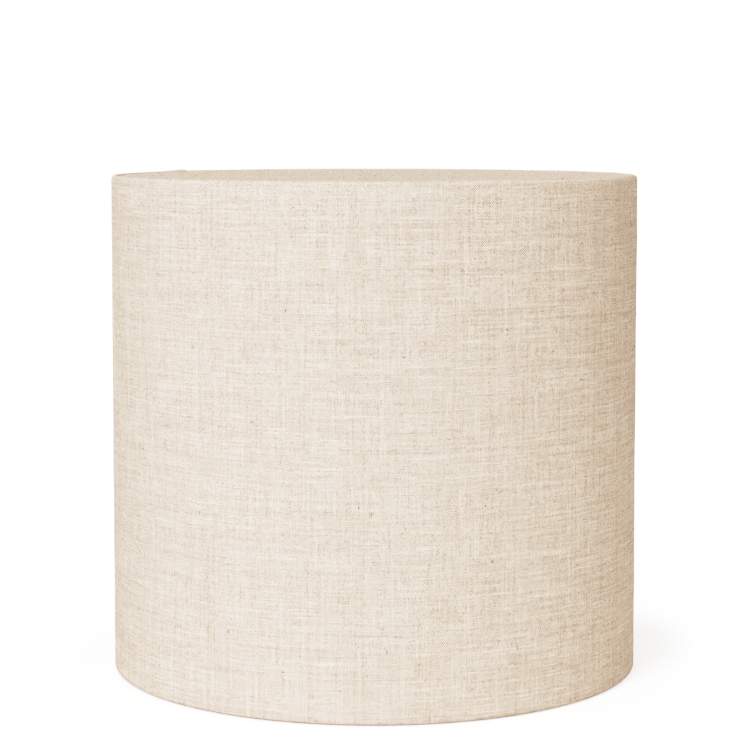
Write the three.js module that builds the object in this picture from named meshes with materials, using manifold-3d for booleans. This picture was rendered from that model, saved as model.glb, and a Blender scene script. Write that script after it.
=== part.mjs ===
// A closed-top drum lamp shade, in millimetres with +Z up.
//
// Linen is bonded to a stiff plastic liner and rolled over a wire ring at each end. A covered
// board closes the top, just inside the top rim. Three bent wire arms rise from the bottom
// ring and carry the flat washer that sits on the lamp holder.
//
// The shade stands on its bottom rim. The origin is at the centre of that rim's underside.

import * as THREE from 'three';
import { mergeVertices } from 'three/addons/utils/BufferGeometryUtils.js';
import Module from 'manifold-3d';

const wasm = await Module();
wasm.setup();

// ---- Driving dimensions ---------------------------------------------------------------

const SHADE_DIAMETER = 400; // across the linen of the wall
const SHADE_HEIGHT = 376; // underside of the bottom rim to the crest of the top rim
const LINEN = 0.5; // the linen with its adhesive
const LINER = 0.4; // the stiff plastic sheet inside the wall
const RING_WIRE = 5; // diameter of the two rim wires

const SEAM_AZIMUTH = 145; // degrees from +X, counted from above
const LAP_WIDTH = 21; // how far one end of the linen lies over the other
const LAP_RISE = 0.8; // how far the folded lap stands out of the wall
const LINER_SLIT = 0.6; // open butt joint of the liner
const TAPE_WIDTH = 24; // strip over the butt joint
const TAPE = 0.2;
const TAPE_INSET = 3; // the strip stops short of the liner's ends

const TOP_BOARD = 1.5;
const TOP_DROP = 0.7; // top linen below the crest of the rim
const TURN_UNDER = 10; // linen turned under the board's edge

const ARM_AZIMUTHS = [90, 210, 330]; // degrees from +X
const ARM_WIRE = 3.5;
const ARM_BEND = 20; // radius of the bend on the wire's centreline
const NOTCH_CLEARANCE = 0.8; // on each side of an arm, in the bottom hem

const WASHER_DIAMETER = 56;
const WASHER_HOLE = 42; // clears the thread of a common screw lamp holder
const WASHER = 2;
const WASHER_LIFT = 44; // underside of the washer above the bottom rim

const GAP = 0.1; // between skins that follow each other facet by facet
const SEAT = 0.3; // between pieces that meet without aligned facets

const ROUND_FACETS = 72;
const WASHER_FACETS = 48;
const WIRE_SIDES = 8;
const ARM_STEP = 7; // length of one straight piece of a swept arm
const ARC_HANDLE = 0.5523; // Bezier handle length of a quarter turn, in radii

// ---- Sizes worked out from them -------------------------------------------------------

const wallRadius = SHADE_DIAMETER / 2;
const ringSection = RING_WIRE / 2;
const rollInside = ringSection + GAP;
const rollOutside = rollInside + LINEN;
const ringRadius = wallRadius - rollOutside;
const bottomRingHeight = rollOutside;
const topRingHeight = SHADE_HEIGHT - rollOutside;
const seamAzimuth = THREE.MathUtils.degToRad(SEAM_AZIMUTH);

const linerOutside = wallRadius - LINEN - GAP;
const linerInside = linerOutside - LINER;
const linerBottom = bottomRingHeight + ringSection;
const linerTop = topRingHeight - ringSection;

const armHeight = WASHER_LIFT + WASHER / 2;
const legRadius = linerInside - SEAT - ARM_WIRE / 2;

// ---- Helpers --------------------------------------------------------------------------

// Turns a closed outline of [radius, height] points about the Z axis. The outline runs
// upwards on its outer side.
function lathe(outline, facets = ROUND_FACETS) {
  const points = [...outline, outline[0]].map(([radius, height]) => new THREE.Vector2(radius, height));
  return new THREE.LatheGeometry(points, facets).rotateX(Math.PI / 2);
}

function rectangle(inside, outside, bottom, top) {
  return [
    [inside, bottom],
    [outside, bottom],
    [outside, top],
    [inside, top],
  ];
}

// Corners of the polygon around a wire whose flats lie `reach` from the wire's centre.
// Corner 0 is half a side below the outward direction, and they are counted from there
// through the top. The flats are upright on the outer side and level above and below.
function wrapCorners(wireHeight, reach, first, last) {
  const side = (2 * Math.PI) / WIRE_SIDES;
  const cornerReach = reach / Math.cos(side / 2);
  const corners = [];
  for (let corner = first; corner <= last; corner += 1) {
    const angle = (corner - 0.5) * side;
    corners.push([ringRadius + cornerReach * Math.cos(angle), wireHeight + cornerReach * Math.sin(angle)]);
  }
  return corners;
}

function solidOf(geometry) {
  const bare = geometry.clone();
  bare.deleteAttribute('normal');
  bare.deleteAttribute('uv');
  const merged = mergeVertices(bare);
  const mesh = new wasm.Mesh({
    numProp: 3,
    vertProperties: new Float32Array(merged.attributes.position.array),
    triVerts: new Uint32Array(merged.index.array),
  });
  return new wasm.Manifold(mesh);
}

function geometryOf(solid) {
  const mesh = solid.getMesh();
  const geometry = new THREE.BufferGeometry();
  geometry.setAttribute('position', new THREE.BufferAttribute(mesh.vertProperties, 3));
  geometry.setIndex(new THREE.BufferAttribute(mesh.triVerts, 1));
  geometry.computeVertexNormals();
  return geometry;
}

// An upright wedge from the axis outwards, centred on the seam. It is `width` wide at the wall.
function seamWedge(width) {
  const halfAngle = width / 2 / wallRadius;
  const reach = SHADE_DIAMETER;
  const corner = (angle) => new THREE.Vector2(reach * Math.cos(angle), reach * Math.sin(angle));
  const outline = new THREE.Shape([new THREE.Vector2(0, 0), corner(-halfAngle), corner(halfAngle)]);
  const block = new THREE.ExtrudeGeometry(outline, { depth: 2 * SHADE_HEIGHT, bevelEnabled: false });
  return solidOf(block.translate(0, 0, -SHADE_HEIGHT / 2).rotateZ(seamAzimuth));
}

function piece(name, geometry, colour, roughness, metalness = 0) {
  const material = new THREE.MeshStandardMaterial({ color: colour, roughness, metalness });
  const mesh = new THREE.Mesh(geometry, material);
  mesh.name = name;
  return mesh;
}

const linenPiece = (name, geometry) => piece(name, geometry, 0xe9dfd2, 0.95);
const plasticPiece = (name, geometry) => piece(name, geometry, 0xf3f2ee, 0.45);
const wirePiece = (name, geometry) => piece(name, geometry, 0xeeeeec, 0.4, 0.1);

// ---- The wall -------------------------------------------------------------------------

// One skin of the linen, from the tucked edge above the bottom ring, under that ring, up the
// wall, over the top ring and down to the tucked edge below it.
function linenSkin(reach) {
  return [...wrapCorners(bottomRingHeight, reach, 2, 8), ...wrapCorners(topRingHeight, reach, 1, 7)];
}

// The folded end of the linen, from the bottom ring's height up the wall and over the crest.
function lapOutline() {
  const outer = wrapCorners(topRingHeight, rollOutside + LAP_RISE, 1, 3);
  const inner = wrapCorners(topRingHeight, rollOutside - LINEN / 2, 1, 3).reverse();
  return [
    [wallRadius - LINEN / 2, bottomRingHeight],
    [wallRadius + LAP_RISE, bottomRingHeight],
    ...outer,
    ...inner,
  ];
}

// The hem is snipped where an arm leaves the bottom ring. The block spares the wall outside.
function hemNotch(azimuth) {
  const width = ARM_WIRE + 2 * NOTCH_CLEARANCE;
  const depth = ringSection + 2 * rollOutside;
  const height = 2 * rollOutside;
  const block = new THREE.BoxGeometry(depth, width, height);
  block.translate(ringRadius + ringSection - depth / 2, 0, bottomRingHeight + height / 2);
  return solidOf(block.rotateZ(THREE.MathUtils.degToRad(azimuth)));
}

function sideFabric() {
  const wall = solidOf(lathe([...linenSkin(rollOutside), ...linenSkin(rollInside).reverse()]));
  const lap = solidOf(lathe(lapOutline())).intersect(seamWedge(LAP_WIDTH));
  const notched = ARM_AZIMUTHS.reduce((solid, azimuth) => solid.subtract(hemNotch(azimuth)), wall.add(lap));
  return linenPiece('side_fabric', geometryOf(notched));
}

function sideLiner() {
  const sleeve = solidOf(lathe(rectangle(linerInside, linerOutside, linerBottom, linerTop)));
  return plasticPiece('side_liner', geometryOf(sleeve.subtract(seamWedge(LINER_SLIT))));
}

function seamTape() {
  const outside = linerInside - GAP;
  const strip = rectangle(outside - TAPE, outside, linerBottom + TAPE_INSET, linerTop - TAPE_INSET);
  return plasticPiece('seam_tape', geometryOf(solidOf(lathe(strip)).intersect(seamWedge(TAPE_WIDTH))));
}

function rimRing(name, height) {
  return wirePiece(name, lathe(wrapCorners(height, ringSection, 0, WIRE_SIDES - 1)));
}

// ---- The closed top -------------------------------------------------------------------

const topEdge = ringRadius - rollOutside - SEAT;
const topFace = SHADE_HEIGHT - TOP_DROP;
const boardTop = topFace - LINEN - GAP;
const boardBottom = boardTop - TOP_BOARD;

function topBoard() {
  const edge = topEdge - LINEN - GAP;
  return piece('top_board', lathe(rectangle(0, edge, boardBottom, boardTop)), 0xe4e1da, 0.7);
}

function topFabric() {
  const under = boardBottom - GAP;
  return linenPiece(
    'top_fabric',
    lathe([
      [0, topFace - LINEN],
      [topEdge - LINEN, topFace - LINEN],
      [topEdge - LINEN, under],
      [topEdge - TURN_UNDER, under],
      [topEdge - TURN_UNDER, under - LINEN],
      [topEdge - LINEN, under - LINEN],
      [topEdge, under],
      [topEdge, topFace - LINEN],
      [topEdge - LINEN, topFace],
      [0, topFace],
    ]),
  );
}

// ---- The spider -----------------------------------------------------------------------

// An arm in the XZ plane: up from the bottom ring beside the liner, round the bend and in to
// the washer's rim.
function spiderArm(name, azimuth) {
  const start = new THREE.Vector3(legRadius, 0, bottomRingHeight + ringSection + SEAT);
  const bendStart = new THREE.Vector3(legRadius, 0, armHeight - ARM_BEND);
  const bendEnd = new THREE.Vector3(legRadius - ARM_BEND, 0, armHeight);
  const end = new THREE.Vector3(WASHER_DIAMETER / 2 + SEAT, 0, armHeight);
  const handle = ARM_BEND * ARC_HANDLE;
  const route = new THREE.CurvePath();
  route.add(new THREE.LineCurve3(start, bendStart));
  route.add(
    new THREE.CubicBezierCurve3(
      bendStart,
      bendStart.clone().add(new THREE.Vector3(0, 0, handle)),
      bendEnd.clone().add(new THREE.Vector3(handle, 0, 0)),
      bendEnd,
    ),
  );
  route.add(new THREE.LineCurve3(bendEnd, end));

  const side = (2 * Math.PI) / WIRE_SIDES;
  const cornerReach = ARM_WIRE / 2 / Math.cos(side / 2);
  const corners = Array.from({ length: WIRE_SIDES }, (_, corner) => {
    const angle = (corner + 0.5) * side;
    return new THREE.Vector2(cornerReach * Math.cos(angle), cornerReach * Math.sin(angle));
  });
  const steps = Math.round(route.getLength() / ARM_STEP);
  const geometry = new THREE.ExtrudeGeometry(new THREE.Shape(corners), { steps, extrudePath: route });
  const arm = wirePiece(name, geometry);
  arm.rotation.z = THREE.MathUtils.degToRad(azimuth);
  return arm;
}

function fitterWasher() {
  const outline = rectangle(WASHER_HOLE / 2, WASHER_DIAMETER / 2, 0, WASHER);
  const washer = wirePiece('fitter_washer', lathe(outline, WASHER_FACETS));
  washer.position.z = WASHER_LIFT;
  return washer;
}

// ---- The assembly ---------------------------------------------------------------------

const wall = new THREE.Group();
wall.add(sideFabric(), sideLiner(), seamTape());
wall.add(rimRing('bottom_ring', bottomRingHeight), rimRing('top_ring', topRingHeight));

const closedTop = new THREE.Group();
closedTop.add(topBoard(), topFabric());

const spider = new THREE.Group();
spider.add(fitterWasher());
ARM_AZIMUTHS.forEach((azimuth, index) => spider.add(spiderArm(`spider_arm_${index + 1}`, azimuth)));

const lampShade = new THREE.Group();
lampShade.add(wall, closedTop, spider);

export default lampShade;
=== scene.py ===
# %% [markdown]
# # A closed-top linen drum lamp shade
#
# The shade is a sleeve of linen on a stiff liner. The linen rolls over a wire ring at each end,
# a covered board closes the top, and a small wire spider near the bottom holds the lamp.
# Every size here is in metres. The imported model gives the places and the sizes, and this
# script makes the cloth, the wires and their finishes to fit it.

# %% Load the frame
import math

import bpy
import numpy as np
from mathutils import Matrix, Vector


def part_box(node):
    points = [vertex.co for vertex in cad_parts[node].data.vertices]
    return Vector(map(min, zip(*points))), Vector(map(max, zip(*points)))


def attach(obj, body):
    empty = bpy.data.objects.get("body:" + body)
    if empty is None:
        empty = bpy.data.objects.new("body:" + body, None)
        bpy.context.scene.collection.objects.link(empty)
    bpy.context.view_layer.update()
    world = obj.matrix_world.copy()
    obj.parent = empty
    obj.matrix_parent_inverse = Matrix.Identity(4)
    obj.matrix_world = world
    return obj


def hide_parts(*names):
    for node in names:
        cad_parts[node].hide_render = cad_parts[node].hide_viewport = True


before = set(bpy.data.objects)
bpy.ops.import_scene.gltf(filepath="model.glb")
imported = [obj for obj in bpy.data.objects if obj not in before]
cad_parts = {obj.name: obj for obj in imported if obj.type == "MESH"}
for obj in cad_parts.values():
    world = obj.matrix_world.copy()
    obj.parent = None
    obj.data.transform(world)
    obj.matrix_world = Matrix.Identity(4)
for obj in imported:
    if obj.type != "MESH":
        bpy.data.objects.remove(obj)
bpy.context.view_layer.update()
MM = 0.001

# %% [markdown]
# ## Sizes that the frame gives
#
# The rim of the shade is a wire ring with linen rolled round it, so three numbers place
# every fold of the cloth: the ring's radius, the ring's height and the radius of the roll.
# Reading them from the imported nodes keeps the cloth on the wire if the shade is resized.

# %% Read the rings and the wall
wall_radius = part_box("side_fabric")[1].x


def ring_place(node):
    """The radius of a ring's centreline, its height and the radius of its wire."""
    lo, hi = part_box(node)
    wire = (hi.z - lo.z) / 2
    return hi.x - wire, (hi.z + lo.z) / 2, wire


ring_radius, bottom_ring_z, ring_wire = ring_place("bottom_ring")
top_ring_z = ring_place("top_ring")[1]
roll = wall_radius - ring_radius
linen = 0.5 * MM
rim_crest = top_ring_z + roll
print(f"wall radius {wall_radius:.4f}, ring radius {ring_radius:.4f}, crest {rim_crest:.4f} m")
print(f"roll {roll / MM:.2f} mm")

# %% [markdown]
# ## Camera
#
# A long lens from a little above the top rim shows the wall almost square on, and the closed
# top as a thin ellipse. A tilted camera makes upright sides lean together, and a shifted one
# doesn't, but a large shift would push the shade out of the picture from other sides. So a
# small shift does part of the work and a tilt does the rest.

# %% Place the camera
camera_data = bpy.data.cameras.new("studio_camera")
camera_data.sensor_width = 36
camera_data.lens = 110.1
camera_data.shift_y = -0.12
camera = bpy.data.objects.new("studio_camera", camera_data)
camera.location = (0.0005, -1.7564, 0.419)
camera.rotation_euler = (math.radians(90 - 4.169), 0, 0)
bpy.context.scene.collection.objects.link(camera)
bpy.context.scene.camera = camera
print("lens", camera_data.lens, "mm at", tuple(round(v, 3) for v in camera.location))

# %% [markdown]
# ## Mesh helpers
#
# Thin cloth is a closed body with two skins a thread's width apart. Both skins are grids
# with the same number of rows, so the same helper joins them, closes the cut edges and
# keeps a map of the cloth's own threads, measured in metres along and across the cloth.

# %% Build a mesh from numbered points
def mesh_piece(name, points, faces, cloth_map=None, sharp_over=50):
    mesh = bpy.data.meshes.new(name)
    mesh.from_pydata([tuple(p) for p in points], [], [tuple(f) for f in faces])
    mesh.validate()
    if cloth_map is not None:
        layer = mesh.uv_layers.new(name="cloth")
        corner_points = np.empty(len(mesh.loops), dtype=np.int32)
        mesh.loops.foreach_get("vertex_index", corner_points)
        layer.data.foreach_set("uv", np.asarray(cloth_map)[corner_points].astype(np.float32).ravel())
    mesh.shade_smooth()
    mesh.set_sharp_from_angle(angle=math.radians(sharp_over))
    piece = bpy.data.objects.new(name, mesh)
    bpy.context.scene.collection.objects.link(piece)
    return piece


def grid_faces(columns, rows, closed_columns=False, closed_rows=False, flip=False):
    """Quads over a grid whose points are numbered column by column."""
    faces = []
    for c in range(columns if closed_columns else columns - 1):
        d = (c + 1) % columns
        for r in range(rows if closed_rows else rows - 1):
            s = (r + 1) % rows
            quad = [c * rows + r, d * rows + r, d * rows + s, c * rows + s]
            faces.append(quad[::-1] if flip else quad)
    return faces


def end_caps(columns, rows, flip=False):
    """Faces that close both ends of a swept strip. rows counts the rows of both skins."""
    last = (columns - 1) * rows
    faces = []
    for r in range(rows // 2 - 1):
        cap = [r, r + 1, rows - 2 - r, rows - 1 - r]
        for quad in (cap, [last + i for i in cap[::-1]]):
            faces.append(quad[::-1] if flip else quad)
    return faces


def ease(value):
    """A smooth step from 0 to 1 as value goes from 0 to 1."""
    t = np.clip(value, 0, 1)
    return t * t * (3 - 2 * t)


# %% [markdown]
# ## The linen wall
#
# The real wall is one strip of linen bonded to plastic and bent into a tube. Its last 23 mm
# lie over its first 23 mm, with the raw end folded in, and its long edges roll over the two
# rings. A lathe would hide the seam, so the strip is swept here column by column: each
# column is the cross-section of the cloth, and the columns run once round and over the start.

# %% Sizes of the seam and of the hems
lap = 23 * MM
fold_in = 10 * MM
lap_start = math.radians(148.5)  # azimuth where the strip begins, under the lap
arm_azimuths = [math.radians(a) for a in (90, 210, 330)]
tuck_turn = math.radians(293)  # how far the linen goes round each ring
edge_lift = 0.55 * MM  # the lap over the strip's start
fold_lift = 0.45 * MM  # and once more over its own folded end
skin_gap = 0.03 * MM
hem_gap = 0.06 * MM  # keeps the lap's two hems apart
end_round = 0.9 * MM
girth = 2 * math.pi * wall_radius
strip_length = girth + lap


def over_start(along):
    """0 on the single cloth and 1 where the strip lies over its own start."""
    return ease((along - girth + 4 * MM) / (5 * MM))


def lap_lift(along):
    """How far the outer skin stands out where the strip runs over its own start."""
    over_fold = ease((along - girth - (lap - fold_in)) / (2 * MM))
    return edge_lift * over_start(along) + fold_lift * over_fold


def lap_inside(along):
    """The inner skin's distance inside the plain outer skin, which shrinks under the lap."""
    return linen - (linen + skin_gap) * over_start(along)


# %% Slow waves of the bonded cloth
def cloth_waves(count, shortest, longest, height, seed):
    """Sine waves in random directions: the slight unevenness of a bonded cloth."""
    dice = np.random.default_rng(seed)
    angle = dice.uniform(0, 2 * math.pi, count)
    length = np.exp(dice.uniform(math.log(shortest), math.log(longest), count))
    phase = dice.uniform(0, 2 * math.pi, count)
    kx, ky = 2 * math.pi * np.cos(angle) / length, 2 * math.pi * np.sin(angle) / length
    share = height * np.sqrt(length / longest) / math.sqrt(count)

    def wave(x, y):
        return sum(share[i] * np.sin(kx[i] * x + ky[i] * y + phase[i]) for i in range(count))

    return wave


wall_wave = cloth_waves(24, 30 * MM, 220 * MM, 0.28 * MM, seed=4)
crest_wave = cloth_waves(16, 18 * MM, 120 * MM, 0.12 * MM, seed=9)


# %% Sweep the strip
def strip_columns():
    """Places along the strip: even steps, with close ones at the lap and at the arms' snips."""
    places = list(np.linspace(0, strip_length, 372))
    edge_steps = np.array([-5, -4, -3, -2, -1, 0, 1, 2, 12, 13, 14, 15]) * MM
    places += list(girth + edge_steps)
    places += [strip_length - s * MM for s in (0.15, 0.35, 0.6, 0.9, 1.4)]
    for azimuth in arm_azimuths:
        middle = ((lap_start - azimuth) % (2 * math.pi)) * wall_radius
        places += [middle + s * MM for s in (-3.4, -2.9, -2.4, -1.9, 0, 1.9, 2.4, 2.9, 3.4)]
    places = np.unique(np.clip(places, 0, strip_length))
    return places[np.concatenate([[True], np.diff(places) > 0.1 * MM])]


HEM_ROWS = 20
WALL_ROWS = 50
SNIP_TURN = math.radians(112)
THIN_END = 0.004  # the square of the least share of the cloth's thickness at its folded end


def wall_section(along, skin):
    """One column: points (radius, height, distance along the cloth) from tuck to tuck."""
    azimuth = lap_start - along / wall_radius
    to_arm = min(abs(math.remainder(azimuth - a, 2 * math.pi)) * wall_radius for a in arm_azimuths)
    snip = 1 - ease((to_arm - 2.0 * MM) / (1.2 * MM))  # the hem is cut back where an arm passes
    turn = tuck_turn - SNIP_TURN * snip
    below = np.linspace(2 * math.pi - turn, 2 * math.pi, HEM_ROWS)
    above = np.linspace(0, tuck_turn, HEM_ROWS)
    heights = np.linspace(bottom_ring_z, top_ring_z, WALL_ROWS + 1)[1:-1]
    edge = math.sqrt(max(THIN_END, 1 - max(0.0, 1 - (strip_length - along) / end_round) ** 2))
    middle = lap_lift(along) - (lap_lift(along) + lap_inside(along)) / 2
    offset = lap_lift(along) if skin == "outer" else -lap_inside(along)
    offset = middle + (offset - middle) * edge
    plain = hem_gap * float(over_start(along)) - (0.0 if skin == "outer" else linen)

    def on_roll(ring_z, angle, share):
        """A point round a ring. share 0 is the hem pressed flat, 1 the full thickness of the lap."""
        reach = roll + plain + share * (offset - plain)
        return ring_radius + reach * math.cos(angle), ring_z + reach * math.sin(angle)

    rows = []
    for angle in below:
        # the lap is pressed flat where the shade stands on it
        share = float(ease((angle - math.radians(290)) / math.radians(60)))
        rows.append((*on_roll(bottom_ring_z, angle, share), roll * (angle - 2 * math.pi)))
    for z in heights:
        rows.append((wall_radius + offset, z, z - bottom_ring_z))
    for angle in above:
        share = 1 - float(ease((angle - math.radians(100)) / math.radians(45)))
        rows.append((*on_roll(top_ring_z, angle, share), top_ring_z - bottom_ring_z + roll * angle))
    return rows


def make_wall():
    places = strip_columns()
    points, cloth_map = [], []
    for along in places:
        outer, inner = wall_section(along, "outer"), wall_section(along, "inner")
        azimuth = lap_start - along / wall_radius
        for r, z, across in outer + inner[::-1]:
            # waves fade out at the rings, which hold the cloth round and level
            free = float(ease((z - 0.01) / 0.05) * ease((rim_crest - 0.01 - z) / 0.05))
            r += free * wall_wave(along, across)
            if z > top_ring_z:
                z += crest_wave(along, 0.0) * (z - top_ring_z) / roll
            points.append((r * math.cos(azimuth), r * math.sin(azimuth), z))
            cloth_map.append((along, across))
    loop = 2 * len(outer)
    faces = grid_faces(len(places), loop, closed_rows=True, flip=True)
    faces += end_caps(len(places), loop, flip=True)
    return mesh_piece("side_linen", points, faces, cloth_map)


side_linen = make_wall()
print("side linen:", len(side_linen.data.polygons), "faces, strip", round(strip_length, 4), "m long")

# %% [markdown]
# ## The covered top
#
# A linen disc lies over a stiff board, goes round its edge and is glued down underneath.
# The weave runs straight across the disc, so its thread map is flat, and not bent round
# like the wall's. Underneath, the turned edge has to lose length, so it puckers.

# %% Make the linen disc
disc_lo, disc_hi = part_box("top_fabric")
disc_radius = disc_hi.x
disc_top = disc_hi.z
turn_under = 10 * MM
PUCKERS = 192
PUCKER_DEPTH = 0.12 * MM
disc_wave = cloth_waves(18, 25 * MM, 160 * MM, 0.16 * MM, seed=21)


def disc_section():
    """The disc's closed cross-section, from the middle of the top skin to the inner skin."""
    edge = (disc_hi.z - disc_lo.z) / 2
    flat_end, cut_end = disc_radius - edge, disc_radius - turn_under

    def round_edge(radius, angles):
        turns = [math.radians(angle) for angle in angles]
        return [(flat_end + radius * math.cos(a), disc_top - edge + radius * math.sin(a), 0.4) for a in turns]

    rows = [(r, disc_top, 1.0) for r in np.linspace(0, flat_end, 34)]
    rows += round_edge(edge, np.linspace(90, -90, 11)[1:])
    rows += [(r, disc_lo.z, 0.0) for r in np.linspace(flat_end, cut_end, 6)[1:]]
    rows += [(r, disc_lo.z + linen, 0.0) for r in np.linspace(cut_end, flat_end, 6)]
    rows += round_edge(edge - linen, np.linspace(-90, 90, 9)[1:])
    rows += [(r, disc_top - linen, 1.0) for r in np.linspace(flat_end, 0, 12)[1:]]
    return rows


def make_disc(turns=240):
    section = disc_section()
    points, cloth_map = [], []
    distance = [0.0]
    for before, row in zip(section, section[1:]):
        distance.append(distance[-1] + math.hypot(row[0] - before[0], row[1] - before[1]))
    for t in range(turns):
        angle = 2 * math.pi * t / turns
        for (r, z, free), far in zip(section[1:-1], distance[1:-1]):
            x, y = r * math.cos(angle), r * math.sin(angle)
            underneath = float(ease((disc_lo.z + 2 * linen - z) / linen))
            pucker = abs(PUCKER_DEPTH * math.sin(PUCKERS / 2 * angle) * underneath)
            points.append((x, y, z + free * disc_wave(x, y) - pucker))
            # the inner skin's map runs back to the middle
            flat = far if far < disc_radius + 14 * MM else 2 * disc_radius - far
            cloth_map.append((flat * math.cos(angle), flat * math.sin(angle)))
    rows = len(section) - 2
    faces = grid_faces(turns, rows, closed_columns=True, flip=True)
    top, bottom = len(points), len(points) + 1
    points += [(0, 0, section[0][1] + disc_wave(0, 0)), (0, 0, section[-1][1] + disc_wave(0, 0))]
    cloth_map += [(0, 0), (0, 0)]
    for t in range(turns):
        u = (t + 1) % turns
        faces.append((top, t * rows, u * rows))
        faces.append((bottom, u * rows + rows - 1, t * rows + rows - 1))
    return mesh_piece("top_linen", points, faces, cloth_map)


top_linen = make_disc()
print("top linen:", len(top_linen.data.polygons), "faces, radius", round(disc_radius, 4))

# %% [markdown]
# ## Node helpers
#
# Materials, the sky and Geometry Nodes are all trees of nodes. A small class keeps their
# making short: it adds a node, and sets each input from a number or from another node.

# %% Add nodes to a tree
class Nodes:
    """Adds nodes to one tree. Numbers and links can both be given as inputs."""

    def __init__(self, tree):
        self.tree = tree

    def add(self, kind, values=(), **settings):
        node = self.tree.nodes.new(kind)
        for key, value in settings.items():
            setattr(node, key, value)
        pairs = values.items() if isinstance(values, dict) else enumerate(values)
        for key, value in pairs:
            self.put(node.inputs[key], value)
        return node

    def put(self, socket, value):
        if isinstance(value, bpy.types.NodeSocket):
            self.tree.links.new(value, socket)
        elif value is not None:
            socket.default_value = value

    def math(self, operation, *values, clamp=False):
        return self.add("ShaderNodeMath", values, operation=operation, use_clamp=clamp).outputs[0]

    def vector(self, x=0.0, y=0.0, z=0.0):
        return self.add("ShaderNodeCombineXYZ", (x, y, z)).outputs[0]

    def noise(self, place, scale=1.0, detail=0.0, roughness=0.5):
        values = {"Vector": place, "Scale": scale, "Detail": detail, "Roughness": roughness}
        return self.add("ShaderNodeTexNoise", values, noise_dimensions="2D").outputs["Fac"]

    def chance(self, place):
        return self.add("ShaderNodeTexWhiteNoise", {"Vector": place}, noise_dimensions="2D").outputs["Value"]

    def step(self, value, low, high, to_low=0.0, to_high=1.0):
        values = {"Value": value, "From Min": low, "From Max": high, "To Min": to_low, "To Max": to_high}
        return self.add("ShaderNodeMapRange", values, interpolation_type="SMOOTHSTEP").outputs["Result"]

    def cloud(self, place, scale, **more):
        """A noise in space."""
        return self.add("ShaderNodeTexNoise", {"Vector": place, "Scale": scale, **more}).outputs["Fac"]

    def in_object(self):
        return self.add("ShaderNodeTexCoord").outputs["Object"]

    def bump(self, height, strength, distance):
        values = {"Height": height, "Strength": strength, "Distance": distance}
        return self.add("ShaderNodeBump", values).outputs[0]

    def scaled(self, vector, factor):
        return self.add("ShaderNodeVectorMath", {0: vector, "Scale": factor}, operation="SCALE").outputs[0]

    def plus(self, first, second):
        return self.add("ShaderNodeVectorMath", (first, second), operation="ADD").outputs[0]

    def position(self):
        return self.add("GeometryNodeInputPosition").outputs[0]

    def turned_to(self, z_axis, x_axis):
        axes = {"primary_axis": "Z", "secondary_axis": "X"}
        return self.add("FunctionNodeAxesToRotation", {0: z_axis, 1: x_axis}, **axes).outputs[0]

    def copies_on(self, points, shape, **more):
        values = {"Points": points, "Instance": shape, **more}
        return self.add("GeometryNodeInstanceOnPoints", values).outputs[0]

    def random(self, low, high, seed):
        return self.add("FunctionNodeRandomValue", {2: low, 3: high, 8: seed}, data_type="FLOAT").outputs[1]

    def mix(self, share, first, second):
        node = self.tree.nodes.new("ShaderNodeMix")
        node.data_type = "RGBA"
        for socket, value in ((node.inputs[0], share), (node.inputs[6], first), (node.inputs[7], second)):
            self.put(socket, value)
        return node.outputs[2]


def new_material(name):
    material = bpy.data.materials.new(name)
    material.use_nodes = True
    material.node_tree.nodes.clear()
    return material, Nodes(material.node_tree)


def finish_surface(nodes, **sockets):
    shader = nodes.add("ShaderNodeBsdfPrincipled", {k.replace("_", " "): v for k, v in sockets.items()})
    output = nodes.add("ShaderNodeOutputMaterial")
    nodes.tree.links.new(shader.outputs[0], output.inputs[0])
    return shader


# %% [markdown]
# ## Inside the shade
#
# From below, the shade shows its white plastic liner with a taped butt joint, the underside
# of the top board, and the spider: three bent wires welded to the bottom ring, with a flat
# washer in the middle that clamps on the lamp holder. The liner and the tape are thin curved
# sheets, so one helper makes both as closed strips with a start and an end.

# %% Make the liner and the joint tape
seam_azimuth = math.radians(145)
liner_lo, liner_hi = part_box("side_liner")
tape_lo, tape_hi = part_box("seam_tape")


def curved_strip(name, outer, thickness, low, high, start, end, columns, ripple=0.0, dice_seed=1):
    """A strip bent round the axis between two azimuths, with closed edges."""
    wave = cloth_waves(12, 8 * MM, 60 * MM, ripple, dice_seed)
    heights = np.linspace(low, high, 40)
    points, strip_map = [], []
    for azimuth in np.linspace(start, end, columns):
        for skin, order in ((0.0, heights), (thickness, heights[::-1])):
            for z in order:
                r = outer - skin + (wave(azimuth * outer, z) if ripple else 0.0)
                points.append((r * math.cos(azimuth), r * math.sin(azimuth), z))
                strip_map.append((azimuth * outer, z))
    loop = 2 * len(heights)
    faces = grid_faces(columns, loop, closed_rows=True) + end_caps(columns, loop)
    return mesh_piece(name, points, faces, strip_map)


liner_radius = liner_hi.x
slit = 0.6 * MM / liner_radius
liner = curved_strip(
    "liner", liner_radius, 0.4 * MM, liner_lo.z, liner_hi.z,
    seam_azimuth + slit / 2, seam_azimuth + 2 * math.pi - slit / 2, 260,
)
tape_radius = liner_radius - 0.5 * MM
tape_turn = 24 * MM / tape_radius
tape = curved_strip(
    "joint_tape", tape_radius, 0.2 * MM, tape_lo.z, tape_hi.z,
    seam_azimuth - tape_turn / 2, seam_azimuth + tape_turn / 2, 14, ripple=0.05 * MM, dice_seed=5,
)
print("liner", len(liner.data.polygons), "faces, tape", len(tape.data.polygons), "faces")

# %% [markdown]
# ## Bent wires
#
# The rings, the spider's arms and the line of glue under the board are all round bars that
# follow a path. Geometry Nodes suit them: one tree rounds the corners of a path, sweeps a
# circle along it and repeats it around the axis, and each piece sets its own numbers.

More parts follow.
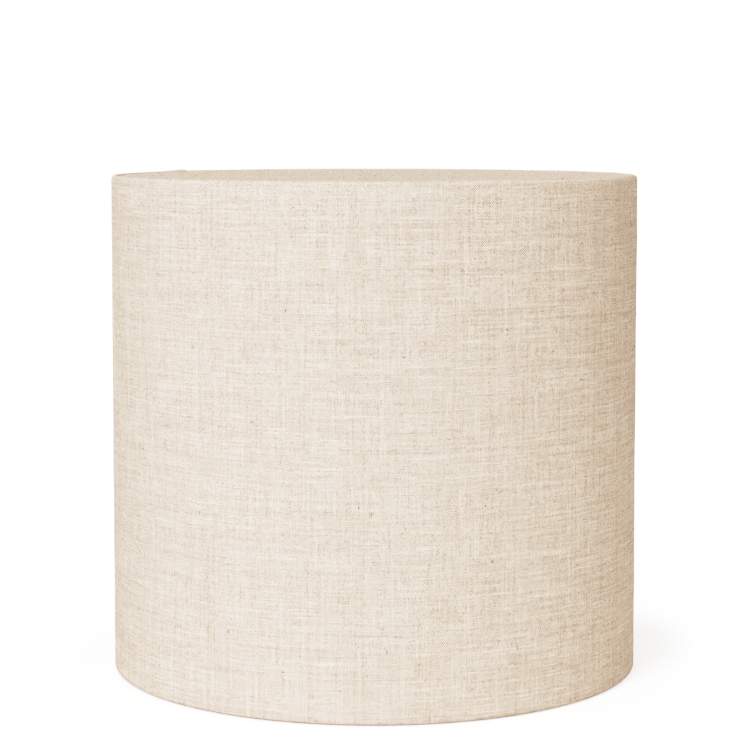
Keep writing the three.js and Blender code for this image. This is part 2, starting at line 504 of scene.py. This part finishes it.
# %% Build Geometry Nodes trees with named inputs
def new_tree(name, inputs):
    """inputs maps each name to a socket kind, such as Float, Int, Object or Material."""
    tree = bpy.data.node_groups.new(name, "GeometryNodeTree")
    tree.interface.new_socket("Geometry", in_out="OUTPUT", socket_type="NodeSocketGeometry")
    tree.interface.new_socket("Geometry", in_out="INPUT", socket_type="NodeSocketGeometry")
    for label, kind in inputs.items():
        tree.interface.new_socket(label, in_out="INPUT", socket_type="NodeSocket" + kind)
    g = Nodes(tree)
    return tree, g, g.add("NodeGroupInput").outputs


def end_tree(g, shape, finish):
    """Every tree ends as real, smooth faces with one material."""
    real = g.add("GeometryNodeRealizeInstances", {"Geometry": shape}).outputs[0]
    smooth = g.add("GeometryNodeSetShadeSmooth", {"Geometry": real}).outputs[0]
    dressed = g.add("GeometryNodeSetMaterial", {"Geometry": smooth, "Material": finish}).outputs[0]
    g.add("NodeGroupOutput", (dressed,))


def grow(name, tree, start_mesh=None, **numbers):
    """Runs a tree once and keeps its result as a plain mesh. A name's _ stands for a space."""
    piece = bpy.data.objects.new(name, start_mesh or bpy.data.meshes.new(name))
    scene_now = bpy.context.scene
    scene_now.collection.objects.link(piece)
    modifier = piece.modifiers.new("grow", "NODES")
    modifier.node_group = tree
    given = {key.replace("_", " "): value for key, value in numbers.items()}
    for socket in tree.interface.items_tree:
        if socket.in_out == "INPUT" and socket.name in given:
            modifier[socket.identifier] = given.pop(socket.name)
    if given:
        raise ValueError(f"{tree.name} has no input {sorted(given)}")
    graph = bpy.context.evaluated_depsgraph_get()
    grown = bpy.data.meshes.new_from_object(piece.evaluated_get(graph), depsgraph=graph)
    piece.modifiers.clear()
    piece.data = grown
    grown.name = name
    print(name, len(grown.polygons), "faces")
    return piece


# %% The tree for bent wires
def bent_wire_tree():
    kinds = {
        "Thickness": "Float", "Bend": "Float", "Sides": "Int", "Copies": "Int", "Unevenness": "Float",
        "Finish": "Material",
    }
    tree, g, given = new_tree("bent_wire", kinds)
    path = g.add("GeometryNodeMeshToCurve", {"Mesh": given["Geometry"]}).outputs[0]
    values = {"Curve": path, "Count": 10, "Radius": given["Bend"], "Limit Radius": True}
    bent = g.add("GeometryNodeFilletCurve", values, mode="POLY")
    values = {"Resolution": given["Sides"], "Radius": 1.0}
    circle = g.add("GeometryNodeCurvePrimitiveCircle", values).outputs[0]
    lumps = g.cloud(g.position(), 90.0, Detail=1.0)
    swell = g.math("MULTIPLY_ADD", g.math("SUBTRACT", lumps, 0.5), given["Unevenness"], 1.0)
    scale = g.math("MULTIPLY", g.math("MULTIPLY", given["Thickness"], 0.5), swell)
    values = {"Curve": bent.outputs[0], "Profile Curve": circle, "Scale": scale, "Fill Caps": True}
    wire = g.add("GeometryNodeCurveToMesh", values).outputs[0]
    spots = g.add("GeometryNodePoints", {"Count": given["Copies"]}).outputs[0]
    index = g.add("GeometryNodeInputIndex").outputs[0]
    turn = g.math("DIVIDE", g.math("MULTIPLY", index, 2 * math.pi), given["Copies"])
    spin = g.add("FunctionNodeAxisAngleToRotation", {"Axis": (0, 0, 1), "Angle": turn}).outputs[0]
    end_tree(g, g.copies_on(spots, wire, Rotation=spin), given["Finish"])
    return tree


def path_mesh(name, points, closed=False):
    mesh = bpy.data.meshes.new(name)
    count = len(points)
    edges = [(i, (i + 1) % count) for i in range(count if closed else count - 1)]
    mesh.from_pydata(points, edges, [])
    return mesh


def circle_points(radius, z, count):
    turns = [2 * math.pi * i / count for i in range(count)]
    return [(radius * math.cos(t), radius * math.sin(t), z) for t in turns]


bent_wire = bent_wire_tree()

# %% [markdown]
# ## Linen
#
# The cloth is a plain weave: warp threads up the wall and weft threads round it, one over,
# one under. The threads are 0.8 to 0.9 mm apart and uneven, with long thick places (slubs)
# that catch the light and short brown bits of flax. An even noise would look like paper, so
# the finish works thread by thread: each thread's number gives it its own random run of
# thick and thin, light and dark, and its height over and under its neighbours.

# %% Weave the linen
WARP_PITCH = 0.79
WEFT_PITCH = 0.89
BROWN_FLAX = (0.42, 0.283, 0.186, 1)
PALE_LINEN = (0.895, 0.778, 0.669, 1)


def thread_set(n, across, along, pitch, seed):
    """One set of parallel threads. across and along are in millimetres."""
    count = n.math("DIVIDE", across, pitch)
    number = n.math("FLOOR", count)
    side = n.math("SUBTRACT", n.math("FRACT", count), 0.5)
    lane = n.math("MULTIPLY_ADD", number, 7.31, seed)

    def run(length, detail=0.0):
        return n.noise(n.vector(lane, n.math("DIVIDE", along, length)), 1.0, detail)

    own = n.chance(n.vector(number, seed))
    return {"count": count, "number": number, "side": side, "own": own, "run": run}


def linen_finish(name, seed, contrast=1.0):
    material, n = new_material(name)
    place = n.add("ShaderNodeUVMap", uv_map="cloth").outputs[0]
    split = n.add("ShaderNodeSeparateXYZ", (place,))
    x = n.math("MULTIPLY", split.outputs[0], 1000)
    y = n.math("MULTIPLY", split.outputs[1], 1000)
    flat = n.vector(x, y)

    # threads wander a little from their straight line
    drift_x = n.math("MULTIPLY_ADD", n.noise(flat, 0.045, 2), 1.6, -0.8)
    drift_y = n.math("MULTIPLY_ADD", n.noise(n.vector(y, x), 0.05, 2), 1.6, -0.8)
    warp = thread_set(n, n.math("ADD", x, drift_x), y, WARP_PITCH, seed)
    weft = thread_set(n, n.math("ADD", y, drift_y), x, WEFT_PITCH, seed + 31.7)

    # over and under: a thread is high where the sum of both thread numbers is even
    def crown(thread, other, sign):
        phase = n.math("ADD", n.math("SUBTRACT", other["count"], 0.5), thread["number"])
        wave = n.math("MULTIPLY", n.math("COSINE", n.math("MULTIPLY", phase, math.pi)), sign)
        girth_part = n.math("MULTIPLY", n.math("MULTIPLY", thread["side"], thread["side"]), -2.6)
        return n.math("ADD", n.math("MULTIPLY_ADD", wave, 0.5, 0.5), girth_part)

    warp_height = crown(warp, weft, 1.0)
    weft_height = crown(weft, warp, -1.0)
    height = n.math("MAXIMUM", warp_height, weft_height)
    on_top = n.math("GREATER_THAN", warp_height, weft_height)

    # each thread's own light and dark, long, middling and short
    def tone(thread):
        total = n.math("MULTIPLY", n.math("SUBTRACT", thread["run"](60), 0.5), 0.80)
        total = n.math("MULTIPLY_ADD", n.math("SUBTRACT", thread["run"](9), 0.5), 0.42, total)
        total = n.math("MULTIPLY_ADD", n.math("SUBTRACT", thread["run"](1.9), 0.5), 0.5, total)
        return n.math("MULTIPLY_ADD", n.math("SUBTRACT", thread["own"], 0.5), 0.17, total)

    def slub(thread):
        return n.step(thread["run"](34), 0.70, 0.80)

    def fleck(thread):
        return n.step(thread["run"](1.6), 0.72, 0.84)

    under = n.math("SUBTRACT", 1.0, on_top)

    def of_top_thread(part):
        return n.math("ADD", n.math("MULTIPLY", part(warp), on_top), n.math("MULTIPLY", part(weft), under))

    thread_tone = of_top_thread(tone)
    slubs = n.math("MAXIMUM", slub(warp), slub(weft))
    clusters = n.step(n.noise(flat, 0.035, 3), 0.35, 0.7)
    flecks = n.math("MULTIPLY", of_top_thread(fleck), n.math("MULTIPLY_ADD", clusters, 0.8, 0.35))
    mottle = n.math("SUBTRACT", n.noise(flat, 0.12, 3), 0.5)
    crossing = n.chance(n.vector(warp["number"], n.math("ADD", weft["number"], seed)))
    knot = n.math("SUBTRACT", n.math("MULTIPLY", crossing, crossing), 0.333)

    # paleness runs from 0, brown flax, to 1, a bleached thick thread; 0.8 is the usual linen
    # painted shade: the low places between the threads and at each thread's sides are painted darker, and the
    # crowns paler
    pale = n.math("MULTIPLY_ADD", n.step(height, -0.1, 0.75), 0.32, 0.608)
    pale = n.math("MULTIPLY_ADD", thread_tone, 0.80 * contrast, pale)
    pale = n.math("MULTIPLY_ADD", knot, -0.34 * contrast, pale)
    pale = n.math("MULTIPLY_ADD", n.math("SUBTRACT", on_top, 0.5), 0.60, pale)
    pale = n.math("MULTIPLY_ADD", mottle, 0.07, pale)
    pale = n.math("MULTIPLY_ADD", slubs, 0.22, pale)
    pale = n.math("MULTIPLY_ADD", flecks, -0.22 * contrast, pale)
    pale = n.math("MINIMUM", n.math("MAXIMUM", pale, 0.0), 1.35)
    colour = n.mix(None, BROWN_FLAX, PALE_LINEN)
    blend = colour.node
    blend.clamp_factor = False
    n.put(blend.inputs[0], pale)

    relief = n.math("MULTIPLY_ADD", slubs, 0.5, height)
    relief = n.math("MULTIPLY_ADD", thread_tone, 0.6, relief)
    bump = n.bump(relief, 0.5, 0.22 * MM)
    finish_surface(n, Base_Color=colour, Roughness=0.92, Specular_IOR_Level=0.05, Normal=bump)
    return material


wall_finish = linen_finish("natural_linen_wall", 3.0)
disc_finish = linen_finish("natural_linen_top", 57.0, contrast=0.7)
side_linen.data.materials.append(wall_finish)
top_linen.data.materials.append(disc_finish)
print("linen nodes:", len(wall_finish.node_tree.nodes))

# %% [markdown]
# ## Finishes of the inner pieces
#
# Powder coat is smooth with a faint orange peel. The liner is satin plastic with drawn
# lines up it, the tape is glossy and slightly uneven, the board is grey with paper fibres,
# and the glue is hazy amber. All but the strips read the piece's own place in space.

# %% Mix the finishes
def coat_finish(name, colour, roughness, grain, relief, gloss=0.5):
    """A plain colour with slight cloudiness, and a fine relief of the given grain size."""
    material, n = new_material(name)
    place = n.in_object()
    clouds = n.cloud(place, 35.0, Detail=3.0)
    dark = tuple(c * 0.93 for c in colour) + (1,)
    tone = n.mix(clouds, dark, tuple(min(1, c * 1.03) for c in colour) + (1,))
    bump = n.bump(n.cloud(place, 1 / grain, Detail=2.0), relief, grain * 0.15)
    finish_surface(n, Base_Color=tone, Roughness=roughness, Specular_IOR_Level=gloss, Normal=bump)
    return material


def liner_finish():
    material, n = new_material("liner_plastic")
    place = n.add("ShaderNodeUVMap", uv_map="cloth").outputs[0]
    split = n.add("ShaderNodeSeparateXYZ", (place,))

    def strip_noise(scale_around, scale_up):
        x = n.math("MULTIPLY", split.outputs[0], scale_around)
        return n.noise(n.vector(x, n.math("MULTIPLY", split.outputs[1], scale_up)), 1.0, 3)

    drawn = strip_noise(900, 6)
    patch = strip_noise(9, 9)
    tone = n.mix(n.step(patch, 0.3, 0.7), (0.85, 0.845, 0.83, 1), (0.91, 0.905, 0.89, 1))
    bump = n.bump(drawn, 0.25, 0.08 * MM)
    finish_surface(n, Base_Color=tone, Roughness=0.38, Specular_IOR_Level=0.45, Normal=bump)
    return material


def board_finish():
    material, n = new_material("grey_board")
    place = n.in_object()
    fibres = n.cloud(place, 520.0, Detail=4.0, Distortion=1.5)
    specks = n.cloud(place, 1100.0, Detail=1.0)
    tone = n.mix(n.step(fibres, 0.3, 0.7), (0.60, 0.56, 0.48, 1), (0.76, 0.73, 0.66, 1))
    tone = n.mix(n.step(specks, 0.68, 0.74), tone, (0.33, 0.29, 0.24, 1))
    bump = n.bump(fibres, 0.3, 0.15 * MM)
    finish_surface(n, Base_Color=tone, Roughness=0.9, Specular_IOR_Level=0.2, Normal=bump)
    return material


spider_coat = coat_finish("white_powder_coat", (0.86, 0.86, 0.84), 0.36, 0.7 * MM, 0.25)
ring_coat = coat_finish("white_ring_coat", (0.84, 0.84, 0.81), 0.42, 0.9 * MM, 0.3)
tape_film = coat_finish("clear_tape", (0.85, 0.85, 0.82), 0.16, 4 * MM, 0.2)
amber_glue = coat_finish("amber_glue", (0.80, 0.71, 0.50), 0.22, 3 * MM, 0.4)
liner.data.materials.append(liner_finish())
tape.data.materials.append(tape_film)
top_board = bpy.data.objects["top_board"]
top_board.material_slots[0].material = board_finish()

# %% Bend the rings, the spider's arms and the glue
def grow_ring(name, height):
    path = path_mesh(name + "_path", circle_points(ring_radius, height, 180), closed=True)
    return grow(
        name, bent_wire, path,
        Thickness=2 * ring_wire, Bend=0.0, Sides=14, Copies=1, Unevenness=0.0, Finish=ring_coat,
    )


bottom_ring = grow_ring("bottom_ring_wire", bottom_ring_z)
top_ring = grow_ring("top_ring_wire", top_ring_z)
arm_lo, arm_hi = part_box("spider_arm_1")
arm_wire = arm_hi.x - arm_lo.x
leg_radius = arm_hi.y - arm_wire / 2
arm_z = arm_hi.z - arm_wire / 2
arm_path = [(0, leg_radius, arm_lo.z), (0, leg_radius, arm_z), (0, arm_lo.y, arm_z)]
arms = grow(
    "spider_arms", bent_wire, path_mesh("arm_path", arm_path),
    Thickness=arm_wire, Bend=20 * MM, Sides=16, Copies=3, Unevenness=0.0, Finish=spider_coat,
)
glue_path = circle_points(disc_radius + 0.15 * MM, disc_lo.z - 0.5 * MM, 300)
glue = grow(
    "glue_line", bent_wire, path_mesh("glue_path", glue_path, closed=True),
    Thickness=1.1 * MM, Bend=0.0, Sides=8, Copies=1, Unevenness=0.9, Finish=amber_glue,
)

# %% [markdown]
# ## Washer and welds
#
# The washer is stamped from sheet, so its edges are slightly rounded: a closed section is
# turned round the axis. Each arm is welded at both ends. A weld is a short row of
# overlapping drops, so a second tree sets a row of small rounded blobs at each joint.

# %% Turn the washer
washer_lo, washer_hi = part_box("fitter_washer")


def turned_ring(name, section, turns=128):
    """Turns a closed section of (radius, height) points round the axis."""
    points = [
        (r * math.cos(a), r * math.sin(a), z)
        for a in (2 * math.pi * t / turns for t in range(turns))
        for r, z in section
    ]
    return mesh_piece(name, points, grid_faces(turns, len(section), True, True, flip=True), sharp_over=60)


def rounded_section(inner, outer, low, high, edge, steps=5):
    corners = [
        (outer - edge, high - edge, 90), (outer - edge, low + edge, 0),
        (inner + edge, low + edge, -90), (inner + edge, high - edge, 180),
    ]
    section = []
    for r, z, first in corners:
        for i in range(steps):
            a = math.radians(first - 90 * i / (steps - 1))
            section.append((r + edge * math.cos(a), z + edge * math.sin(a)))
    return section


hole_radius = 21 * MM
washer_section = rounded_section(hole_radius, washer_hi.x, washer_lo.z, washer_hi.z, 0.45 * MM)
washer = turned_ring("fitter_washer_ring", washer_section)
washer.data.materials.append(spider_coat)


# %% Weld the joints
def weld_tree():
    kinds = {"Drops": "Int", "Step": "Float", "Drop size": "Float", "Seed": "Int", "Finish": "Material"}
    tree, g, given = new_tree("weld_rows", kinds)
    drop = g.add("GeometryNodeMeshIcoSphere", {"Radius": given["Drop size"], "Subdivisions": 2}).outputs[0]
    back = g.math("MULTIPLY", g.math("MULTIPLY", g.math("SUBTRACT", given["Drops"], 1), given["Step"]), -0.5)
    row = g.add(
        "GeometryNodeMeshLine",
        {"Count": given["Drops"], "Start Location": g.vector(back), "Offset": g.vector(given["Step"])},
    ).outputs[0]
    size = g.random(0.85, 1.15, given["Seed"])
    drops = g.copies_on(row, drop, Scale=g.vector(size, size, g.math("MULTIPLY", size, 0.8)))
    split = g.add("ShaderNodeSeparateXYZ", (g.position(),)).outputs
    around = g.vector(g.math("MULTIPLY", split[1], -1.0), split[0], 0.0)
    turn = g.turned_to((0, 0, 1), around)
    end_tree(g, g.copies_on(given["Geometry"], drops, Rotation=turn), given["Finish"])
    return tree


joints = []
for azimuth in arm_azimuths:
    for r, z in ((leg_radius, arm_lo.z - 0.2 * MM), (arm_lo.y + 0.2 * MM, arm_z)):
        joints.append((r * math.cos(azimuth), r * math.sin(azimuth), z))
joint_mesh = bpy.data.meshes.new("weld_places")
joint_mesh.from_pydata(joints, [], [])
welds = grow(
    "weld_beads", weld_tree(), joint_mesh,
    Drops=3, Step=1.0 * MM, Drop_size=1.35 * MM, Seed=3, Finish=spider_coat,
)

# %% [markdown]
# ## Thick threads and flax bits
#
# Linen yarn isn't even: it swells into slubs, and bits of flax stalk stay in it. Both stand
# out of the cloth and catch light or shade, which paint alone can't do from the side. One
# tree lays tapered threads on the cloth: it starts from straight lines on the flat strip,
# bends them round the axis, and drops each point on the cloth with a ray. Another scatters
# small brown bits over the cloth, most of them along a thread.

# %% The tree for slubs
def slub_tree():
    kinds = {
        "Cloth": "Object", "Count": "Int", "Shortest": "Float", "Longest": "Float", "Thickness": "Float",
        "Radius": "Float", "Low": "Float", "High": "Float", "Upright": "Float", "Seed": "Int",
        "Finish": "Material",
    }
    tree, g, given = new_tree("slub_threads", kinds)
    seed = given["Seed"]
    cloth = g.add("GeometryNodeObjectInfo", {"Object": given["Cloth"]}).outputs["Geometry"]
    chance = g.random(0.0, 1.0, seed)
    spread = g.math("SUBTRACT", given["Longest"], given["Shortest"])
    length = g.math("MULTIPLY_ADD", g.math("POWER", chance, 2.2), spread, given["Shortest"])
    once_round = g.math("MULTIPLY", given["Radius"], 2 * math.pi)
    rise = g.math("MULTIPLY", length, given["Upright"])
    room = g.math("SUBTRACT", g.math("SUBTRACT", given["High"], given["Low"]), rise)
    along = g.math("MULTIPLY", g.random(0.0, 1.0, g.math("ADD", seed, 1)), once_round)
    up = g.math("MULTIPLY_ADD", g.random(0.0, 1.0, g.math("ADD", seed, 2)), room, given["Low"])
    values = {"Count": given["Count"], "Position": g.vector(along, up)}
    starts = g.add("GeometryNodePoints", values).outputs[0]
    line = g.add("GeometryNodeCurvePrimitiveLine", {"Start": (0, 0, 0), "End": (1, 0, 0)}).outputs[0]
    quarter = g.math("MULTIPLY", given["Upright"], math.pi / 2)
    spin = g.add("FunctionNodeAxisAngleToRotation", {"Axis": (0, 0, 1), "Angle": quarter}).outputs[0]
    lines = g.copies_on(starts, line, Rotation=spin, Scale=g.vector(length, 1.0, 1.0))
    lines = g.add("GeometryNodeRealizeInstances", {"Geometry": lines}).outputs[0]
    resample = g.add("GeometryNodeResampleCurve", {"Curve": lines, "Length": 3.5 * MM}, mode="LENGTH")
    # bend the flat lines round the axis, a little outside the cloth, and drop them on it
    place = g.add("ShaderNodeSeparateXYZ", (g.position(),)).outputs
    angle = g.math("DIVIDE", place[0], given["Radius"])
    sway = g.math("SUBTRACT", g.cloud(g.position(), 30.0), 0.5)
    height = g.math("MULTIPLY_ADD", sway, 1.2 * MM, place[1])
    flat = g.vector(g.math("COSINE", angle), g.math("SINE", angle), 0.0)
    source = g.scaled(flat, g.math("ADD", given["Radius"], 6 * MM))
    source = g.plus(source, g.vector(0.0, 0.0, height))
    inward = g.scaled(flat, -1.0)
    ray = {"Source Position": source, "Ray Direction": inward, "Ray Length": 12 * MM}
    hit = g.add("GeometryNodeRaycast", {"Target Geometry": cloth, **ray}).outputs
    miss = g.plus(source, g.scaled(inward, 6.3 * MM))
    values = {"Switch": hit["Is Hit"], "False": miss, "True": hit["Hit Position"]}
    resting = g.add("GeometryNodeSwitch", values, input_type="VECTOR").outputs[0]
    values = {"Geometry": resample.outputs[0], "Position": resting}
    bent = g.add("GeometryNodeSetPosition", values).outputs[0]

    # each thread is thickest in the middle, and knobbly
    factor = g.add("GeometryNodeSplineParameter").outputs["Factor"]
    arch = g.math("MAXIMUM", g.math("SINE", g.math("MULTIPLY", factor, math.pi)), 0.02)
    girth_now = g.math("MULTIPLY", g.math("POWER", arch, 0.45), given["Thickness"])
    knobs = g.math("MULTIPLY_ADD", g.cloud(g.position(), 160.0), 0.7, 0.15)
    ring = g.add("GeometryNodeCurvePrimitiveCircle", {"Resolution": 6, "Radius": 1.0}).outputs[0]
    values = {"Profile Curve": ring, "Scale": g.math("MULTIPLY", girth_now, knobs), "Fill Caps": True}
    threads = g.add("GeometryNodeCurveToMesh", {"Curve": bent, **values}).outputs[0]
    end_tree(g, threads, given["Finish"])
    return tree


# %% The tree for flax bits
def flax_tree():
    kinds = {
        "Cloth": "Object", "Density": "Float", "Shortest": "Float", "Longest": "Float", "Thickness": "Float",
        "Lying flat": "Float", "Lowest": "Float", "Tilt": "Float", "Seed": "Int", "Finish": "Material",
    }
    tree, g, given = new_tree("flax_bits", kinds)
    seed = given["Seed"]
    cloth = g.add("GeometryNodeObjectInfo", {"Object": given["Cloth"]}).outputs["Geometry"]
    # only the skin that faces out of the wall, or up from the top, gets any
    split = g.add("ShaderNodeSeparateXYZ", (g.position(),)).outputs
    level = g.vector(split[0], split[1], 0.0)
    radial = g.add("ShaderNodeVectorMath", (level,), operation="NORMALIZE").outputs[0]
    standing = g.math("SUBTRACT", 1.0, given["Lying flat"])
    outward = g.plus(g.scaled(radial, standing), g.vector(0.0, 0.0, given["Lying flat"]))
    normal = g.add("GeometryNodeInputNormal").outputs[0]
    facing = g.add("ShaderNodeVectorMath", (normal, outward), operation="DOT_PRODUCT").outputs["Value"]
    high_up = g.math("GREATER_THAN", split[2], given["Lowest"])
    outer_side = g.math("MULTIPLY", g.math("GREATER_THAN", facing, 0.6), high_up)
    values = {"Mesh": cloth, "Selection": outer_side, "Density": given["Density"], "Seed": seed}
    spots = g.add("GeometryNodeDistributePointsOnFaces", values).outputs

    # each bit lies along a thread or across it, slightly askew
    across = g.vector(g.math("MULTIPLY", split[1], -1.0), split[0], 0.0)
    across = g.plus(g.scaled(across, standing), g.vector(given["Lying flat"]))
    turn = g.turned_to(spots["Normal"], across)
    quarter = g.math("MULTIPLY", g.math("FLOOR", g.random(0.0, 1.99, g.math("ADD", seed, 1))), math.pi / 2)
    spin = g.math("ADD", quarter, g.random(-0.35, 0.35, g.math("ADD", seed, 2)))
    tilt = g.math("MULTIPLY", g.random(-1.0, 1.0, g.math("ADD", seed, 3)), given["Tilt"])
    lean = g.add("FunctionNodeEulerToRotation", (g.vector(0.0, tilt, spin),)).outputs[0]
    turned = g.add("FunctionNodeRotateRotation", (turn, lean), rotation_space="LOCAL").outputs[0]
    draw = g.random(0.0, 1.0, g.math("ADD", seed, 4))
    spread = g.math("SUBTRACT", given["Longest"], given["Shortest"])
    length = g.math("MULTIPLY_ADD", g.math("POWER", draw, 2.5), spread, given["Shortest"])
    half = g.math("MULTIPLY", length, 0.5)
    girth_part = g.math("MULTIPLY", given["Thickness"], g.random(0.3, 0.6, g.math("ADD", seed, 5)))
    bit = g.add("GeometryNodeMeshIcoSphere", {"Radius": 1.0, "Subdivisions": 2}).outputs[0]
    size = g.vector(half, girth_part, g.math("MULTIPLY", girth_part, 0.8))
    bits = g.copies_on(spots["Points"], bit, Rotation=turned, Scale=size)
    end_tree(g, bits, given["Finish"])
    return tree


# %% Lay the slubs and scatter the bits
def yarn_finish(name, dark, light):
    material, n = new_material(name)
    place = n.in_object()
    patch = n.cloud(place, 220.0, Detail=2.0)
    bump = n.bump(n.cloud(place, 1800.0, Detail=1.0), 0.4, 0.1 * MM)
    tone = n.mix(n.step(patch, 0.3, 0.7), dark + (1,), light + (1,))
    finish_surface(n, Base_Color=tone, Roughness=0.85, Specular_IOR_Level=0.25, Normal=bump)
    return material


pale_yarn = yarn_finish("pale_yarn", (0.84, 0.74, 0.65), (0.94, 0.86, 0.78))
brown_stalk = yarn_finish("flax_stalk", (0.41, 0.29, 0.195), (0.62, 0.475, 0.355))
slubs = slub_tree()
slub_numbers = dict(
    Cloth=side_linen, Shortest=12 * MM, Thickness=0.36 * MM, Radius=wall_radius, Finish=pale_yarn,
)
weft_slubs = grow(
    "weft_slubs", slubs, Count=170, Longest=125 * MM, Low=12 * MM, High=rim_crest - 8 * MM,
    Upright=0.0, Seed=11, **slub_numbers,
)
warp_slubs = grow(
    "warp_slubs", slubs, Count=160, Longest=110 * MM, Low=6 * MM, High=rim_crest - 5 * MM,
    Upright=1.0, Seed=37, **slub_numbers,
)
flax = flax_tree()
flax_numbers = dict(Shortest=0.7 * MM, Finish=brown_stalk)
wall_flax = grow(
    "wall_flax", flax, Cloth=side_linen, Density=1500.0, Longest=3.4 * MM, Thickness=0.75 * MM,
    Lying_flat=0.0, Lowest=4 * MM, Tilt=0.1, Seed=5, **flax_numbers,
)
top_flax = grow(
    "top_flax", flax, Cloth=top_linen, Density=900.0, Longest=3.4 * MM, Thickness=0.8 * MM,
    Lying_flat=1.0, Lowest=disc_top - 1 * MM, Tilt=0.5, Seed=8, **flax_numbers,
)

# %% [markdown]
# ## Light
#
# Half of the light is an even white glow from all round. A large soft lamp at the front left
# makes the wall fall off to the right, a weak one at the right keeps that side from going
# flat, and a third behind shows the seam from the back. A small white card low on the right
# gives the foot of the shaded side its glow. The floor is white and sends light back up the
# wall. What the camera sees of floor and sky is brighter than what lights the shade, so both
# stay white: the floor's extra glow is painted light. Near the shade that painted glow is
# weaker, which paints a soft darker ring of shadow round the shade's foot.

# %% Set the sky and the lamps
scene = bpy.context.scene
sky_level = 0.44
world = bpy.data.worlds.new("studio_glow")
world.use_nodes = True
world.node_tree.nodes.clear()
sky = Nodes(world.node_tree)
glow = sky.add("ShaderNodeBackground", ((1, 0.985, 0.955, 1), sky_level)).outputs[0]
white = sky.add("ShaderNodeBackground", ((1, 1, 1, 1), 1.3)).outputs[0]
seen = sky.add("ShaderNodeLightPath").outputs["Is Camera Ray"]
mixed = sky.add("ShaderNodeMixShader", (seen, glow, white)).outputs[0]
sky.add("ShaderNodeOutputWorld", (mixed,))
scene.world = world


def softbox(name, azimuth, height, light, softness, tint=(1, 1, 1)):
    """A far lamp. azimuth 0 is in front and grows to the right; light 1 shows a white surface as white."""
    data = bpy.data.lights.new(name, "SUN")
    data.energy = light * math.pi
    data.angle = math.radians(softness)
    data.color = tint
    lamp = bpy.data.objects.new(name, data)
    a, h = math.radians(azimuth), math.radians(height)
    towards = Vector((math.sin(a) * math.cos(h), -math.cos(a) * math.cos(h), math.sin(h)))
    lamp.rotation_euler = towards.to_track_quat("Z", "Y").to_euler()
    scene.collection.objects.link(lamp)
    return lamp


softbox("front_left_softbox", -26, 30, 0.562, 26, tint=(1, 1.04, 1.12))
softbox("right_fill", 95, 22, 0.096, 40)
softbox("back_fill", 195, 10, 0.19, 40)

card = bpy.data.lights.new("low_card", "AREA")
card.shape = "RECTANGLE"
card.size, card.size_y = 0.30, 0.10
card.energy = 0.05
low_card = bpy.data.objects.new("low_card", card)
low_card.location = (0.46, -0.19, 0.06)
facing_away = Vector((low_card.location.x, low_card.location.y, 0))
low_card.rotation_euler = facing_away.to_track_quat("Z", "Y").to_euler()
low_card.visible_camera = False
scene.collection.objects.link(low_card)
print("lamps:", len(bpy.data.lights))

# %% Lay the floor
floor = mesh_piece("studio_floor", [(-6, -6, 0), (6, -6, 0), (6, 6, 0), (-6, 6, 0)], [(0, 1, 2, 3)])
floor.location.z = -0.4 * MM
floor_material, f = new_material("studio_floor")
matt = f.add("ShaderNodeBsdfDiffuse", ((0.74, 0.73, 0.72, 1),)).outputs[0]
from_middle = f.add("ShaderNodeVectorMath", (f.in_object(),), operation="LENGTH").outputs["Value"]
# painted light and painted shadow: a glow only the camera sees, weaker close to the shade so the floor reads
# darker round its foot
glow_with_painted_shadow = f.step(from_middle, 0.22, 0.31, 0.58, 0.80)
lift = f.math("MULTIPLY", f.add("ShaderNodeLightPath").outputs["Is Camera Ray"], glow_with_painted_shadow)
shine = f.add("ShaderNodeEmission", ((1, 1.01, 1.03, 1), lift)).outputs[0]
both_shaders = f.add("ShaderNodeAddShader", (matt, shine)).outputs[0]
f.add("ShaderNodeOutputMaterial", (both_shaders,))
floor.data.materials.append(floor_material)

# %% [markdown]
# ## Film response
#
# A camera doesn't record light in a straight line. Near white its response flattens, which
# pales the lit side of the cloth and leaves the shaded side warmer. The same soft shoulder
# is set here as a curve, so one neutral light gives both tones.

# %% Set the response curve
scene.view_settings.view_transform = "Standard"
scene.view_settings.use_curve_mapping = True
FILM_WHITE = 1.2
film_points = [
    (0.1, 0.045), (0.2, 0.115), (0.3, 0.22), (0.4, 0.372), (0.5, 0.537), (0.6, 0.667),
    (0.7, 0.761), (0.8, 0.826), (0.9, 0.875), (1.0, 0.918), (1.1, 0.96),
]
film = scene.view_settings.curve_mapping
film.white_level = (FILM_WHITE, FILM_WHITE, FILM_WHITE)
for light_in, light_out in film_points:
    film.curves[3].points.new(light_in / FILM_WHITE, light_out)
film.update()
print("film curve points:", len(film.curves[3].points))

# %% [markdown]
# ## Hand over
#
# Every piece rides on the shade's one body, and the imported nodes that it stands for are
# hidden. The table lists for each piece those nodes and the name of a material slot. Both
# linen pieces are cloth: the side is a strip one girth and one lap long, and as high as the
# wall with both hems rolled out, and the top is a disc with its turned-under edge.

# %% Attach the pieces
standing_for = {
    side_linen: (("side_fabric",), "side_linen"),
    top_linen: (("top_fabric",), "top_linen"),
    liner: (("side_liner",), "liner_plastic"),
    tape: (("seam_tape",), "tape_plastic"),
    bottom_ring: (("bottom_ring",), "ring_wire"),
    top_ring: (("top_ring",), "ring_wire"),
    arms: (("spider_arm_1", "spider_arm_2", "spider_arm_3"), "spider_metal"),
    washer: (("fitter_washer",), "spider_metal"),
    welds: ((), "spider_metal"),
    glue: ((), "tape_plastic"),
    weft_slubs: ((), "side_linen"),
    warp_slubs: ((), "side_linen"),
    wall_flax: ((), "side_linen"),
    top_flax: ((), "top_linen"),
}
for piece, (nodes, slot) in standing_for.items():
    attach(piece, "root")
    if nodes:
        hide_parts(*nodes)
